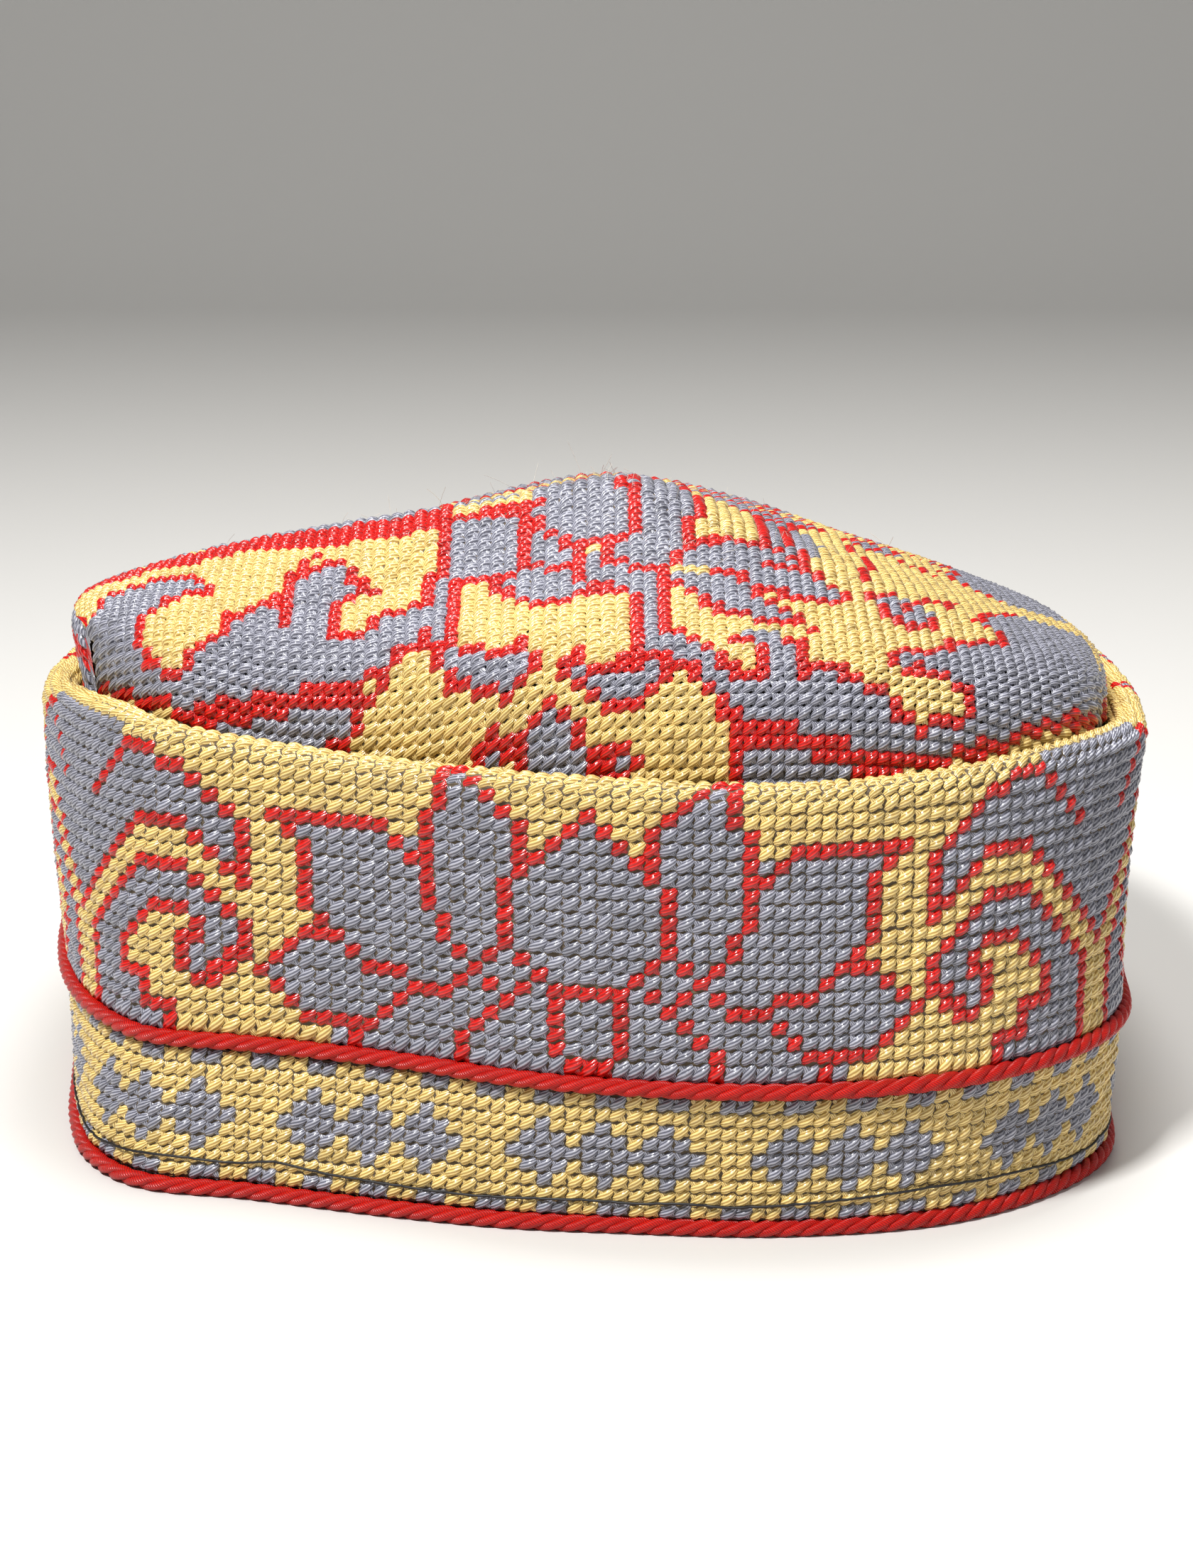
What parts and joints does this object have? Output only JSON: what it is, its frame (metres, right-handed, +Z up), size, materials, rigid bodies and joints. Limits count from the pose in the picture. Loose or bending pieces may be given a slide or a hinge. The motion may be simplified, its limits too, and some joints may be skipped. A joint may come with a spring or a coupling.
{
  "type": "tubeteika skullcap",
  "caption": "Soft four-sided skullcap with a padded wall, a folded top edge, a low tucked crown, a ribbon band and two red cords, open underneath for the head.",
  "frame": {"origin": "middle of the cap's bounding box on the surface that it rests on", "axes": "+Z up out of the crown, -Y towards the front of the cap, +X to the right of someone who looks at the front"},
  "size_m": [0.1578, 0.18, 0.0908],
  "materials": {
    "crown": "padded cloth covered in glossy cross stitch, golden yellow and grey with red lines",
    "wall": "padded cloth covered in glossy cross stitch, golden yellow and grey with red lines",
    "lower_band": "ribbon of glossy cross stitch, golden yellow with grey lozenges",
    "piping_cord": "twisted red cord with a silky sheen",
    "edge_cord": "twisted red cord with a silky sheen"
  },
  "bodies": {
    "root": {"crown": "crown", "wall": "wall", "lower_band": "lower_band", "piping_cord": "piping_cord", "edge_cord": "edge_cord"}
  },
  "joints": []
}
